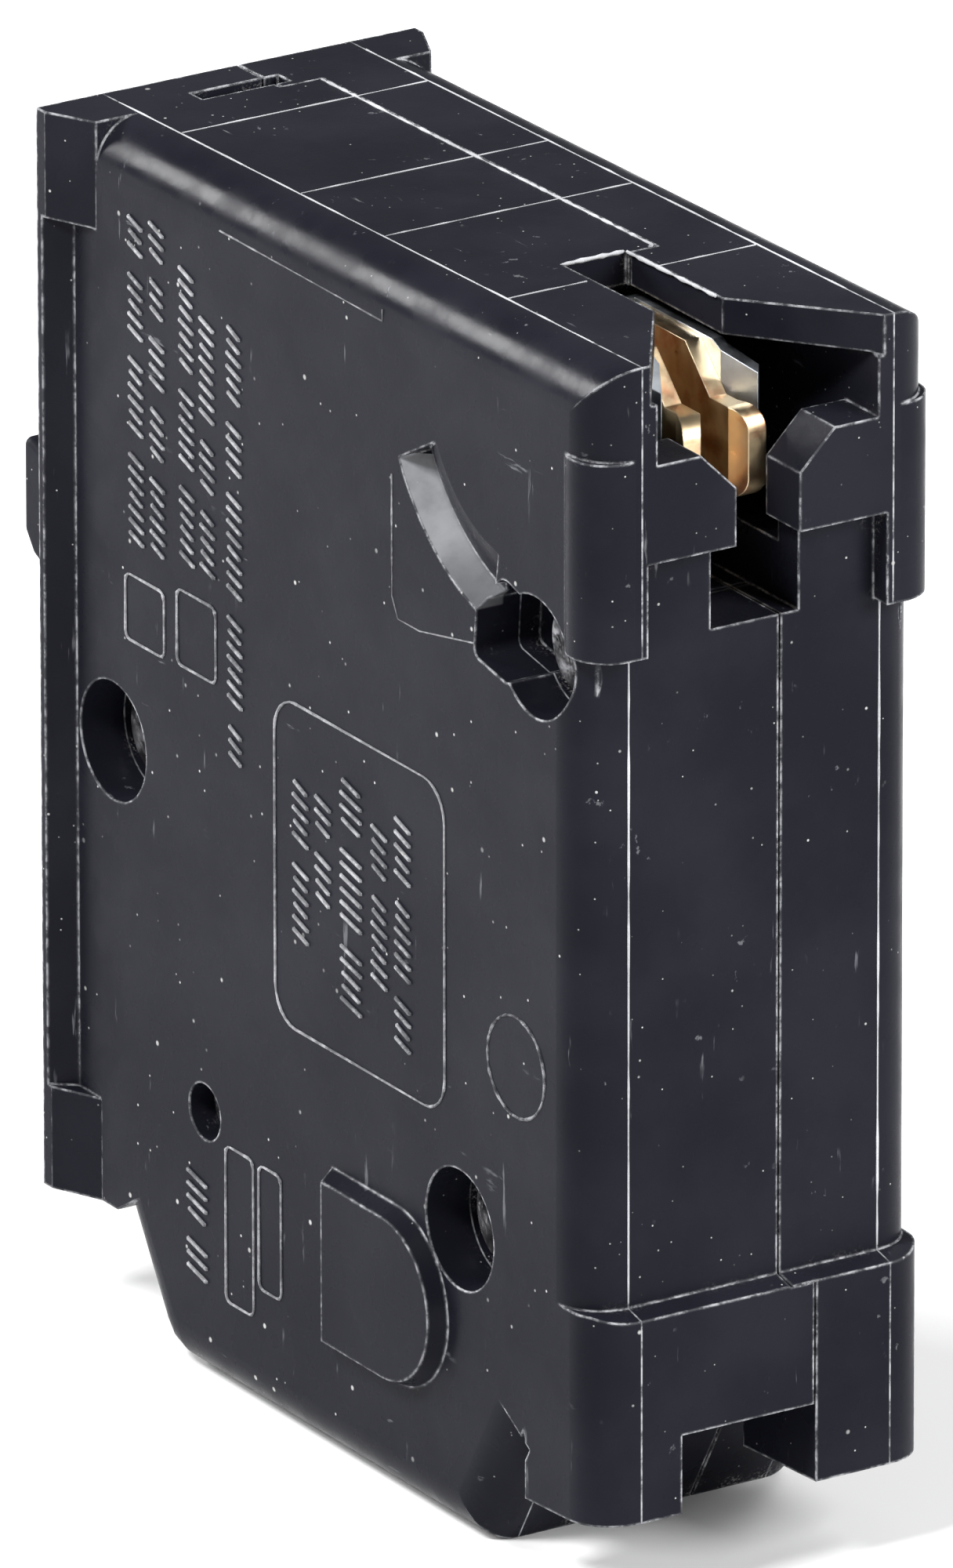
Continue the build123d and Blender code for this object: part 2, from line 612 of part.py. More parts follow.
def arc_plates():
    """Row of notched steel plates above the contacts."""
    plates = []
    for index in range(5):
        y_low = -1.6 + 2.8 * index
        plate = block((-5.6, 5.6), (y_low, y_low + 1.0), (65.6, 70.4))
        notch = Polyline((-2.6, 65.5), (2.6, 65.5), (0, 68.4), close=True)
        plane = Plane(origin=(0, y_low + 1.0, 0), x_dir=(1, 0, 0), z_dir=(0, -1, 0))
        plates.append(plate - extrude(plane * make_face(notch), 1.0))
    return Compound(plates)


def arc_plate_holder():
    """Two fibre cheeks that hold the arc plates."""
    cheek = block((5.6, 6.6), (-2.4, 12.0), (65.0, 70.6))
    return Compound([cheek, mirror(cheek, about=Plane.YZ)])


# ---------------------------------------------------------------- trip mechanism
def trip_lever():
    """Steel lever between its pivot and the latch, with the spring hook halfway."""
    latch = (10.6, LATCH_Z)
    knee = (5.6, 33.0)
    path = [LEVER_PIVOT, (10.4, 42.5), knee, (6.2, LATCH_Z + 0.4), latch]
    lever = strip(path, 2.0, -LEVER_HALF_WIDTH, LEVER_HALF_WIDTH)
    lever += x_rod(LEVER_PIVOT, 2.6, -LEVER_HALF_WIDTH, LEVER_HALF_WIDTH)
    lever -= x_rod(LEVER_PIVOT, PIN_RADIUS + RUNNING_CLEARANCE, -3, 3)
    return lever - x_rod((7.0, 36.4), 0.45, -3, 3)


def armature():
    """Latch plate in front of the bimetal, with the window for the lever's end."""
    plate = block((-3.4, 3.4), (8.0, 9.2), (14.6, 31.0))
    plate += block((-5.0, 5.0), (8.0, 9.2), (16.0, 23.5))
    window = block((-1.5, 1.5), (7, 10), (LATCH_Z - 1.7, LATCH_Z + 2.2))
    ears = both_sides(block((2.6, 3.4), (7.4, 9.8), (12.2, 15.4)))
    ears += both_sides(x_rod(ARMATURE_PIVOT, 1.9, 2.6, 3.4))
    return plate + ears - window - x_rod(ARMATURE_PIVOT, PIN_RADIUS + RUNNING_CLEARANCE, -5, 5)


def magnet_yoke():
    """U-shaped steel yoke around the bimetal."""
    outer = block((-5.2, 5.2), (10.6, 16.2), (15.5, 24.0))
    inner = block((-4.0, 4.0), (10.0, 14.8), (15.0, 24.5))
    return outer - inner


def bimetal():
    """Bimetal strip, fixed to the load strap at its lower end."""
    return block((-3.0, 3.0), (BIMETAL_Y, BIMETAL_Y + 0.9), (7.0, 31.5))


def bimetal_facing():
    """Second metal of the bimetal, bonded to its front."""
    return block((-3.0, 3.0), (BIMETAL_Y - 0.5, BIMETAL_Y), (9.0, 31.5))


def yoke_spacer():
    """Block between the bimetal and the yoke's web."""
    return block((-2.6, 2.6), (BIMETAL_Y + 0.9, 14.8), (16.5, 20.0))


def load_strap():
    """Copper strap from the terminal screw to the bimetal."""
    clamp = screw_block((-4.6, 4.6), (-4.2, 4.2), (STRAP_DEPTH, STRAP_DEPTH + STRAP_SHEET))
    tap = screw_frame(Pos(0, 0, STRAP_DEPTH - 1) * rod(SCREW_RADIUS + RUNNING_CLEARANCE, 5))
    corner_y = SCREW_FACE_MIDDLE[0] + 10.7
    foot = block((-3.0, 3.0), (corner_y, BIMETAL_Y + 2.3), (5.0, 6.4))
    tab = block((-3.0, 3.0), (BIMETAL_Y + 0.9, BIMETAL_Y + 2.3), (5.0, 13.0))
    return clamp - tap + foot + tab


def clamp_saddle():
    """Pressure plate under the screw head, with turned-down ends."""
    low = SCREW_HEAD[1]
    plate = screw_block((-4.6, 4.6), (-3.9, 3.9), (low, low + SADDLE_SHEET))
    hole = screw_frame(Pos(0, 0, low - 1) * rod(SCREW_RADIUS + RUNNING_CLEARANCE, 5))
    grip = screw_block((-4.6, 4.6), (2.9, 3.9), (low + SADDLE_SHEET, low + SADDLE_SHEET + 0.5))
    return plate - hole + grip


def terminal_screw():
    """Slotted binding screw."""
    low, high = SCREW_HEAD
    head = Pos(0, 0, low) * rod(SCREW_HEAD_RADIUS, high - low)
    half_slot = SCREW_SLOT[0] / 2
    slot = block((-4, 4), (-half_slot, half_slot), (low - 1, low + SCREW_SLOT[1]))
    shank = Pos(0, 0, high) * rod(SCREW_RADIUS, SCREW_SHANK)
    return screw_frame(head - slot + shank)


def calibration_screw():
    """Small slotted screw behind the load strap's tab, sealed in its rib."""
    body = y_rod((0, 9.6), 1.6, BIMETAL_Y + 2.3, 23.0)
    return body - block((-3, 3), (22.3, 24), (9.3, 9.9))


def pin(pivot, half_length):
    """Plain steel pivot pin."""
    return x_rod(pivot, PIN_RADIUS, -half_length, half_length)


def coil(start, end, radius, wire, turns):
    """Helical tension spring between two points."""
    axis = Vector(*end) - Vector(*start)
    helix = Helix(pitch=axis.length / turns, height=axis.length, radius=radius)
    profile = Plane(origin=helix @ 0, z_dir=helix % 0) * Circle(wire)
    body = sweep(profile, path=helix, is_frenet=True)
    return Plane(origin=start, z_dir=axis) * body


def braid():
    """Flexible copper braid from the bimetal to the contact arm."""
    x = 2.2
    points = [
        (x, BIMETAL_Y - 1.4, 30.4),
        (x, 8.2, 33.6),
        (x + 2.2, 3.6, 36.5),
        (x + 2.2, 2.2, 42.6),
    ]
    path = FilletPolyline(*points, radius=2.0)
    return sweep(Plane(origin=path @ 0, z_dir=path % 0) * Circle(0.8), path=path)


# ---------------------------------------------------------------- write the nodes
os.makedirs("parts", exist_ok=True)
near_half, far_half = case_halves()
save(near_half, "case_near_half")
save(far_half, "case_far_half")
save(rivets(), "case_rivets")
save(handle(), "toggle_handle")
save(contact_carrier(), "contact_carrier")
save(arm_strip(), "contact_arm")
save(moving_contact(), "moving_contact")
save(fixed_contact(), "fixed_contact")
save(line_jaw(), "line_jaw")
save(jaw_spring(), "jaw_spring")
save(arc_plates(), "arc_plates")
save(arc_plate_holder(), "arc_plate_holder")
save(trip_lever(), "trip_lever")
save(armature(), "latch_armature")
save(magnet_yoke(), "magnet_yoke")
save(bimetal(), "bimetal_strip")
save(bimetal_facing(), "bimetal_facing")
save(yoke_spacer(), "yoke_spacer")
save(load_strap(), "load_strap")
save(clamp_saddle(), "clamp_saddle")
save(terminal_screw(), "terminal_screw")
save(calibration_screw(), "calibration_screw")
save(pin(ARM_PIVOT, 8.4), "arm_pivot_pin")
save(pin(LEVER_PIVOT, 8.4), "lever_pivot_pin")
save(pin(ARMATURE_PIVOT, 8.4), "armature_pin")
save(coil((0, 6.6, 40.1), (0, 3.9, 42.7), 1.2, 0.22, 6), "operating_spring")
save(braid(), "flexible_braid")
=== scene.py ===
import json
import math
import random

import bmesh
import bpy
from mathutils import Matrix, Vector


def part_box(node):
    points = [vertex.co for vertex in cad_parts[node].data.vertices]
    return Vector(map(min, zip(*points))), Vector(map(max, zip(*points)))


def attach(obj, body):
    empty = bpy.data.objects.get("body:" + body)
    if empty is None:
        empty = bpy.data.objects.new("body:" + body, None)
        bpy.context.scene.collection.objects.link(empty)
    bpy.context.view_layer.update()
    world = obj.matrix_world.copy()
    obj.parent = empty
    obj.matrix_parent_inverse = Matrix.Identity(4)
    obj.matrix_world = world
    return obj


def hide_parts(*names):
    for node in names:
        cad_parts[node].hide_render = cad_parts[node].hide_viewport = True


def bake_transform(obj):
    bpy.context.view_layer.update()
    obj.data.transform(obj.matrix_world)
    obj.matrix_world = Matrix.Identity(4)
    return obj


MM = 0.001

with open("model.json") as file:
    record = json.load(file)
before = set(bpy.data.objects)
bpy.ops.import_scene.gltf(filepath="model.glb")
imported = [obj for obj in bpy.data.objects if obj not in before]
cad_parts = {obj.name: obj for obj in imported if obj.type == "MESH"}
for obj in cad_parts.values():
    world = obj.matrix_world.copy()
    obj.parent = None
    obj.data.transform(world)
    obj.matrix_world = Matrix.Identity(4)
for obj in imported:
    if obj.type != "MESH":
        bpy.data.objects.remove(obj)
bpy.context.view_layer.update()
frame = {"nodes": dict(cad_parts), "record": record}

# Places on the case, in millimetres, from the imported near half
CASE_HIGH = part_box("case_near_half")[1]
Y_BACK = CASE_HIGH.y / MM
Z_TOP = CASE_HIGH.z / MM
SIDE_X = 11.25              # flat of the near side, inside the front ears
MARK_X = SIDE_X + 0.02      # centre line of the marks moulded on it
Y_RECESS = Y_BACK - 1.4     # middle of the back face
TOP_SLOPE = 1.1 / 57.3      # the top falls towards the front
SINK = 0.02                 # how far a ridge's centre line lies below its face
FLASH_X = 8.3               # parting lines, on both sides of the middle
# Where the painted highlight on the scoop's sloping wall lies, in millimetres
SCOOP_CENTRE = (Y_BACK - 8.93, 69.77)
SCOOP_INNER = (12.1, 12.5)  # radii between which the scoop's wall fades in
SCOOP_OUTER = (13.45, 13.6)  # and out
SCOOP_DEEP = (9.4, 9.6)     # x between which it fades in from the floor
SCOOP_RIM = (SIDE_X - 0.1, SIDE_X - 0.02)

# Both run from the case to the contact arm, in millimetres
SPRING_ENDS = ((0, 6.6, 40.1), (0, 3.9, 42.7))
BRAID_PATH = ((2.2, 11.6, 30.4), (2.2, 8.2, 33.6), (4.4, 3.6, 36.5), (4.4, 2.2, 42.6))

# The camera: degrees, then millimetres
AZIMUTH, ELEVATION, ROLL = 148.03, 20.891, -0.141
AIM = (0, -2.093, 37)
DISTANCE = 1637.51
LENS = 659.8
SHIFT = (0.0458, -0.0127)

# Dark and light colour, roughness, then how much wear and dust
PLASTICS = {
    "case_plastic": ((0.008, 0.0084, 0.0128), (0.0125, 0.013, 0.0185), 0.28),
    "handle_plastic": ((0.01, 0.0105, 0.015), (0.015, 0.0158, 0.021), 0.4),
    "flash_plastic": ((0.3, 0.305, 0.32), (0.6, 0.61, 0.63), 0.5, 1.0, 0.3),
    # The marks are moulded in the case's own dark plastic; this much lighter colour is a painted
    # highlight for the light along their raised edges
    "mark_plastic_painted_highlight": ((0.08, 0.082, 0.09), (0.26, 0.26, 0.27), 0.42, 1.1),
    "inner_plastic": ((0.1, 0.07, 0.05), (0.15, 0.11, 0.08), 0.5, 0.3, 0.3),
}

# Clean and tarnished colour, roughness, then the brushing and where the tarnish starts
METALS = {
    "plain_steel": ((0.46, 0.46, 0.47), (0.3, 0.29, 0.28), 0.34),
    "spring_steel": ((0.6, 0.64, 0.68), (0.44, 0.47, 0.52), 0.34, (1, 1, 0.08)),
    "plated_steel": ((0.66, 0.63, 0.55), (0.5, 0.47, 0.4), 0.3),
    "jaw_copper": ((0.74, 0.58, 0.36), (0.64, 0.34, 0.19), 0.3, (1, 1, 0.1), (0.47, 0.68)),
    "copper": ((0.78, 0.42, 0.27), (0.48, 0.25, 0.16), 0.3),
    "silver": ((0.84, 0.84, 0.82), (0.6, 0.59, 0.56), 0.25),
}

# Columns of strokes: distance from the back, lower and upper end, stroke length
INSTRUCTION_COLUMNS = (
    (-48.9, 49.5, 69.0), (-46.6, 49.5, 69.0), (-43.4, 50.0, 69.0), (-41.2, 50.0, 67.5),
    (-38.3, 39.5, 66.0),
)
PANEL_COLUMNS = (
    (-31.3, 31.0, 42.5, 1.6), (-28.9, 34.0, 40.0, 1.6), (-25.9, 28.5, 42.0, 2.2),
    (-22.9, 31.0, 40.0, 1.6), (-20.4, 28.0, 42.0, 1.6),
)


# ---------------------------------------------------------------- node helpers
class Graph:
    """A material's node tree, with short ways to add and join nodes."""

    def __init__(self, name):
        self.material = bpy.data.materials.new(name)
        self.material.use_nodes = True
        self.tree = self.material.node_tree
        self.tree.nodes.clear()
        self.output = self.add("ShaderNodeOutputMaterial")
        self.shader = self.add("ShaderNodeBsdfPrincipled")
        self.join(self.shader.outputs[0], self.output.inputs[0])
        self.place = self.add("ShaderNodeTexCoord").outputs["Object"]

    def add(self, kind, **settings):
        node = self.tree.nodes.new(kind)
        for key, value in settings.items():
            setattr(node, key, value)
        return node

    def join(self, source, target):
        self.tree.links.new(source, target)

    def math(self, operation, a, b=None, clamp=False):
        node = self.add("ShaderNodeMath", operation=operation, use_clamp=clamp)
        for socket, value in zip(node.inputs, (a, b)):
            if value is None:
                continue
            if isinstance(value, (int, float)):
                socket.default_value = value
            else:
                self.join(value, socket)
        return node.outputs[0]

    def ramp(self, value, low, high, to_low=0.0, to_high=1.0):
        """Smoothly maps low..high to to_low..to_high."""
        node = self.add("ShaderNodeMapRange", interpolation_type="SMOOTHSTEP")
        self.join(value, node.inputs["Value"])
        for key, number in (
            ("From Min", low), ("From Max", high), ("To Min", to_low), ("To Max", to_high),
        ):
            node.inputs[key].default_value = number
        return node.outputs[0]

    def stretched(self, scale):
        node = self.add("ShaderNodeMapping")
        self.join(self.place, node.inputs["Vector"])
        node.inputs["Scale"].default_value = scale
        return node.outputs[0]

    def noise(self, per_mm, detail=3.0, rough=0.55, vector=None):
        """Noise with about per_mm bumps in a millimetre."""
        node = self.add("ShaderNodeTexNoise")
        self.join(vector or self.place, node.inputs["Vector"])
        node.inputs["Scale"].default_value = per_mm / MM
        node.inputs["Detail"].default_value = detail
        node.inputs["Roughness"].default_value = rough
        return node.outputs["Fac"]

    def specks(self, per_mm, size, share):
        """Sparse round dots: size is a part of the cell, share how many cells have one."""
        node = self.add("ShaderNodeTexVoronoi", feature="F1")
        self.join(self.place, node.inputs["Vector"])
        node.inputs["Scale"].default_value = per_mm / MM
        dot = self.ramp(node.outputs["Distance"], size * 0.5, size, 1.0, 0.0)
        split = self.add("ShaderNodeSeparateColor")
        self.join(node.outputs["Color"], split.inputs[0])
        return self.math("MULTIPLY", dot, self.math("LESS_THAN", split.outputs[0], share))

    def mix(self, factor, first, second):
        """Colour mix; each colour is a socket or a tuple."""
        node = self.add("ShaderNodeMix", data_type="RGBA")
        self.join(factor, node.inputs["Factor"])
        for socket, colour in ((node.inputs[6], first), (node.inputs[7], second)):
            if isinstance(colour, tuple):
                socket.default_value = (*colour, 1.0)
            else:
                self.join(colour, socket)
        return node.outputs[2]

    def edges(self, radius_mm):
        """1 on sharp edges and 0 on flats, and the normal rounded over them."""
        bevel = self.add("ShaderNodeBevel", samples=6)
        bevel.inputs["Radius"].default_value = radius_mm * MM
        flat = self.add("ShaderNodeNewGeometry").outputs["Normal"]
        dot = self.add("ShaderNodeVectorMath", operation="DOT_PRODUCT")
        self.join(bevel.outputs[0], dot.inputs[0])
        self.join(flat, dot.inputs[1])
        return self.math("SUBTRACT", 1.0, dot.outputs["Value"]), bevel.outputs[0]

    def places(self):
        """X, Y and Z of the point, in millimetres."""
        scaled = self.add("ShaderNodeVectorMath", operation="SCALE")
        scaled.inputs["Scale"].default_value = 1 / MM
        self.join(self.place, scaled.inputs[0])
        split = self.add("ShaderNodeSeparateXYZ")
        self.join(scaled.outputs[0], split.inputs[0])
        return split.outputs

    def flash_line(self, x_mm, half_width_mm):
        """Faint broken lines where the mould parts, at x_mm on both sides of the middle."""
        from_middle = self.math("ABSOLUTE", self.places()[0])
        away = self.math("ABSOLUTE", self.math("SUBTRACT", from_middle, x_mm))
        line = self.ramp(away, half_width_mm * 0.4, half_width_mm, 1.0, 0.0)
        broken = self.ramp(self.noise(0.8, 5.0, 0.7), 0.36, 0.6, 0.1, 0.7)
        return self.math("MULTIPLY", line, broken)

    def painted_scoop_highlight(self):
        """1 on the sloping wall of the scoop, where a painted highlight makes it show bright."""
        x, y, z = self.places()
        y = self.math("SUBTRACT", y, SCOOP_CENTRE[0])
        z = self.math("SUBTRACT", z, SCOOP_CENTRE[1])
        square = self.math("ADD", self.math("MULTIPLY", y, y), self.math("MULTIPLY", z, z))
        radius = self.math("SQRT", square)
        outer = self.ramp(radius, *SCOOP_OUTER, 1.0, 0.0)
        wall = self.math("MULTIPLY", self.ramp(radius, *SCOOP_INNER), outer)
        rim = self.ramp(x, *SCOOP_RIM, 1.0, 0.0)
        deep = self.math("MULTIPLY", self.ramp(x, *SCOOP_DEEP), rim)
        within = self.math("MULTIPLY", self.math("LESS_THAN", y, -2.6), self.math("LESS_THAN", z, -6.2))
        upper = self.math("MULTIPLY", within, self.ramp(z, -13.3, -8.0, 0.35, 1.0))
        return self.math("MULTIPLY", self.math("MULTIPLY", wall, deep), upper)

    def hollows(self, distance_mm):
        """1 deep in corners and 0 on open faces."""
        node = self.add("ShaderNodeAmbientOcclusion", samples=6)
        node.inputs["Distance"].default_value = distance_mm * MM
        return self.math("SUBTRACT", 1.0, node.outputs["AO"])

    def bump(self, height, depth_mm, strength=1.0, normal=None):
        node = self.add("ShaderNodeBump")
        node.inputs["Strength"].default_value = strength
        node.inputs["Distance"].default_value = depth_mm * MM
        self.join(height, node.inputs["Height"])
        if normal is not None:
            self.join(normal, node.inputs["Normal"])
        return node.outputs[0]

    def finish(self, colour, roughness, normal, metallic=0.0, specular=0.5):
        self.join(colour, self.shader.inputs["Base Color"])
        self.join(roughness, self.shader.inputs["Roughness"])
        self.join(normal, self.shader.inputs["Normal"])
        self.shader.inputs["Metallic"].default_value = metallic
        self.shader.inputs["Specular IOR Level"].default_value = specular
        return self.material


# ---------------------------------------------------------------- materials
def moulded_plastic(name, dark, light, roughness, wear=1.0, dust=1.0):
    """Moulded thermoset: soft cloudiness, pores, scuffs, rubbed edges, dust, and a painted highlight on
    the scoop's sloping wall.
    """
    g = Graph(name)
    cloud = g.ramp(g.noise(0.09, 4.0), 0.35, 0.7)
    colour = g.mix(cloud, dark, light)

    # Fine hairline scratches in patches, one set upright and one slanting
    upright = g.ramp(g.noise(1.3, 4.0, 0.6, g.stretched((1.0, 1.0, 0.1))), 0.66, 0.71)
    slanting = g.ramp(g.noise(1.1, 4.0, 0.6, g.stretched((1.0, 0.14, 0.8))), 0.67, 0.72)
    scratched = g.ramp(g.noise(0.2, 3.0), 0.5, 0.62)
    scuffs = g.math("MULTIPLY", g.math("MAXIMUM", upright, slanting), scratched)
    colour = g.mix(g.math("MULTIPLY", scuffs, 0.55 * wear), colour, (0.16, 0.165, 0.18))

    # Rubbed edges, broken up so that no edge is an even line
    edge, rounded = g.edges(0.24)
    patchy = g.ramp(g.noise(1.1, 6.0, 0.75), 0.42, 0.63, 0.1, 1.0)
    rubbed = g.math("MULTIPLY", g.ramp(edge, 0.012, 0.06), patchy)
    rubbed = g.math("MAXIMUM", rubbed, g.flash_line(FLASH_X, 0.07))
    colour = g.mix(g.math("MULTIPLY", rubbed, 0.8 * wear, clamp=True), colour, (0.64, 0.65, 0.68))

    # Painted highlight: the scoop's sloping wall is coloured lighter, in place of the shine the lamps
    # would give it
    scoop_highlight = g.math("MULTIPLY", g.painted_scoop_highlight(), g.ramp(g.noise(0.5, 4.0), 0.25, 0.6, 0.7, 1.0))
    colour = g.mix(g.math("MULTIPLY", scoop_highlight, 0.9), colour, (0.3, 0.305, 0.32))

    # Dust settles in corners, in grains
    corner = g.ramp(g.hollows(1.6), 0.28, 0.8)
    grains = g.ramp(g.noise(6.0, 3.0, 0.6), 0.5, 0.66)
    dusty = g.ramp(g.noise(0.5, 4.0), 0.42, 0.62)
    settled = g.math("MULTIPLY", g.math("MULTIPLY", corner, grains), dusty)
    colour = g.mix(g.math("MULTIPLY", settled, 0.8 * dust), colour, (0.36, 0.355, 0.34))
    small = g.specks(1.5, 0.1, 0.2)
    middle = g.specks(0.8, 0.085, 0.14)
    large = g.specks(0.36, 0.07, 0.12)
    dots = g.math("MAXIMUM", small, g.math("MAXIMUM", middle, large))
    dots = g.math("MULTIPLY", dots, g.ramp(g.noise(0.3, 3.0), 0.36, 0.6, 0.25, 1.0 * dust))
    colour = g.mix(dots, colour, (0.42, 0.42, 0.41))

    rough = g.ramp(g.noise(0.35, 5.0), 0.3, 0.7, roughness - 0.07, roughness + 0.08)
    dull = g.math("MULTIPLY", g.math("MAXIMUM", rubbed, settled), 0.22)
    rough = g.math("ADD", rough, dull, clamp=True)
    grain = g.math("ADD", g.noise(3.2, 4.0), g.math("MULTIPLY", scuffs, 0.7))
    return g.finish(colour, rough, g.bump(grain, 0.012, 0.6, rounded), specular=0.045)


def worn_metal(name, clean, tarnish, roughness, brushed=(1.0, 1.0, 1.0), tarnish_at=(0.42, 0.66)):
    """Sheet metal: stained patches, brushing, bright cut edges."""
    g = Graph(name)
    stain = g.ramp(g.noise(0.45, 5.0, 0.6), *tarnish_at)
    colour = g.mix(stain, clean, tarnish)
    edge, rounded = g.edges(0.1)
    bright = g.ramp(edge, 0.02, 0.12)
    cut_edge = tuple(min(1.0, c * 1.1 + 0.12) for c in clean)
    colour = g.mix(g.math("MULTIPLY", bright, 0.8), colour, cut_edge)
    lines = g.noise(4.0, 3.0, 0.5, g.stretched(brushed))
    rough = g.ramp(g.noise(0.8, 4.0), 0.3, 0.7, roughness - 0.06, roughness + 0.12)
    rough = g.math("ADD", rough, g.math("MULTIPLY", lines, 0.08), clamp=True)
    return g.finish(colour, rough, g.bump(lines, 0.004, 0.3, rounded), metallic=1.0)


def headed_rivet(name):
    """Dark rivet head, lumpy from the riveting tool."""
    g = Graph(name)
    lumps = g.noise(0.6, 3.0, 0.5)
    colour = g.mix(g.ramp(lumps, 0.4, 0.65), (0.05, 0.05, 0.055), (0.3, 0.3, 0.32))
    rough = g.ramp(g.noise(0.9, 4.0), 0.3, 0.7, 0.25, 0.45)
    return g.finish(colour, rough, g.bump(lumps, 0.6, 1.0), metallic=0.7)


def fibre_board(name):
    """Vulcanised fibre with short pressed fibres."""
    g = Graph(name)
    grain = g.noise(2.0, 5.0, 0.6, g.stretched((1.0, 0.2, 1.0)))
    colour = g.mix(g.ramp(grain, 0.35, 0.7), (0.4, 0.29, 0.18), (0.55, 0.43, 0.3))
    rough = g.ramp(grain, 0.3, 0.7, 0.6, 0.8)
    return g.finish(colour, rough, g.bump(grain, 0.03, 0.5))


def pale_floor(name):
    g = Graph(name)
    tone = g.ramp(g.noise(0.01, 3.0), 0.3, 0.7)
    colour = g.mix(tone, (0.86, 0.86, 0.86), (0.88, 0.88, 0.88))
    rough = g.ramp(tone, 0.0, 1.0, 0.75, 0.8)
    return g.finish(colour, rough, g.bump(tone, 0.01, 0.1))


def make_materials():
    materials = {name: moulded_plastic(name, *look) for name, look in PLASTICS.items()}
    materials |= {name: worn_metal(name, *look) for name, look in METALS.items()}
    materials["fibre"] = fibre_board("fibre")
    materials["rivet_steel"] = headed_rivet("rivet_steel")
    return materials


def dress_frame(materials):
    """Gives every CAD node the material of its slot."""
    slots = {row["node"]: row["material_slot"] for row in frame["record"]["subparts"]}
    for name, node in frame["nodes"].items():
        node.data.materials.clear()
        node.data.materials.append(materials[slots[name]])


# ---------------------------------------------------------------- mesh helpers
def ring_at(bm, centre, side, other, radius, sides):
    """One ring of vertices round a centre, in the plane of two directions."""
    ring = []
    for k in range(sides):
        angle = 2 * math.pi * k / sides
        ring.append(bm.verts.new(centre + (side * math.cos(angle) + other * math.sin(angle)) * radius))
    return ring


def skin(bm, rings, closed=False):
    """Joins rings of vertices into a closed surface: a loop, or a rod with two end faces."""
    pairs = list(zip(rings, rings[1:]))
    if closed:
        pairs.append((rings[-1], rings[0]))
    for low, high in pairs:
        for k in range(len(low)):
            m = (k + 1) % len(low)
            bm.faces.new((low[k], low[m], high[m], high[k]))
    if not closed:
        bm.faces.new(rings[0])
        bm.faces.new(rings[-1])


def piece_from(name, build, material, body="case"):
    """Makes one object from a function that fills a bmesh in millimetres."""
    mesh = bpy.data.meshes.new(name)
    bm = bmesh.new()
    build(bm)
    bmesh.ops.scale(bm, vec=(MM, MM, MM), verts=bm.verts)
    bmesh.ops.recalc_face_normals(bm, faces=bm.faces)
    bm.to_mesh(mesh)
    bm.free()
    piece = bpy.data.objects.new(name, mesh)
    bpy.context.scene.collection.objects.link(piece)
    mesh.materials.append(material)
    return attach(piece, body) if body else piece


def raised_prism(bm, outline, base, height, draft):
    """Closed pad on the near side: a Y-Z outline, sunk a little, with drafted walls."""
    middle = sum((Vector(p) for p in outline), Vector((0, 0))) / len(outline)
    rings = []
    for x, shrink in ((base - 0.12, 0.0), (base, 0.0), (base + height, draft)):
        ring = []
        for point in outline:
            offset = Vector(point) - middle
            pulled = offset * max(0.0, 1 - shrink / max(offset.length, 1e-6))
            ring.append(bm.verts.new((x, *(middle + pulled))))
        rings.append(ring)
    skin(bm, rings)


def tube(bm, points, radius, seed, sides=6, closed=False, waver=0.35):
    """Round rod or ridge along a path of points; waver makes its thickness uneven."""
    draw = random.Random(seed)
    rings = []
    count = len(points)
    for i, point in enumerate(points):
        before = points[(i - 1) % count] if closed or i else points[0]
        after = points[(i + 1) % count] if closed or i < count - 1 else points[-1]
        along = (Vector(after) - Vector(before)).normalized()
        helper = Vector((1, 0, 0)) if abs(along.x) < 0.9 else Vector((0, 0, 1))
        side = along.cross(helper).normalized()
        other = along.cross(side)
        size = radius * (1 + waver * (draw.random() - 0.5) * 2)
        rings.append(ring_at(bm, Vector(point), side, other, size, sides))
    skin(bm, rings, closed)


def finely(points, step=1.3):
    """Divides a polyline so that no span is longer than step."""
    result = []
    for start, end in zip(points, points[1:]):
        a, b = Vector(start), Vector(end)
        count = max(1, math.ceil((b - a).length / step))
        result += [tuple(a.lerp(b, i / count)) for i in range(count)]
    return result + [tuple(points[-1])]


def rounded_loop(y_low, y_high, z_low, z_high, radius, steps=6):
    """Closed Y-Z loop of a rectangle with round corners."""
    corners = (
        (y_high - radius, z_high - radius, 0),
        (y_low + radius, z_high - radius, 90),
        (y_low + radius, z_low + radius, 180),
        (y_high - radius, z_low + radius, 270),
    )
    loop = []
    for y, z, start in corners:
        for k in range(steps + 1):
            angle = math.radians(start + 90 * k / steps)
            loop.append((y + radius * math.cos(angle), z + radius * math.sin(angle)))
    return loop


# ---------------------------------------------------------------- moulded details
def stroke_column(bm, y, z_low, z_high, size, seed):
    """One column of slanted raised strokes in random groups. They stand for no letters."""
    draw = random.Random(seed)
    width, gap, slant = 0.17, 0.62, 0.26
    z = z_low
    while z < z_high - size:
        for _ in range(draw.randint(3, 8)):
            if z > z_high:
                break
            half = size * draw.choice((0.5, 0.5, 0.42))
            outline = [
                (y - half, z + slant), (y - half, z + slant + width),
                (y + half, z - slant + width), (y + half, z - slant),
            ]
            raised_prism(bm, outline, SIDE_X, 0.16, 0.05)
            z += gap + width
        z += 1.1


def instruction_strokes(bm):
    """Stroke columns near the front of the side, and one at the foot."""
    for index, (dy, low, high) in enumerate(INSTRUCTION_COLUMNS):
        stroke_column(bm, Y_BACK + dy, low, high, 1.5, 10 + index)
    stroke_column(bm, Y_BACK - 42.7, 6.6, 13.4, 2.1, 31)


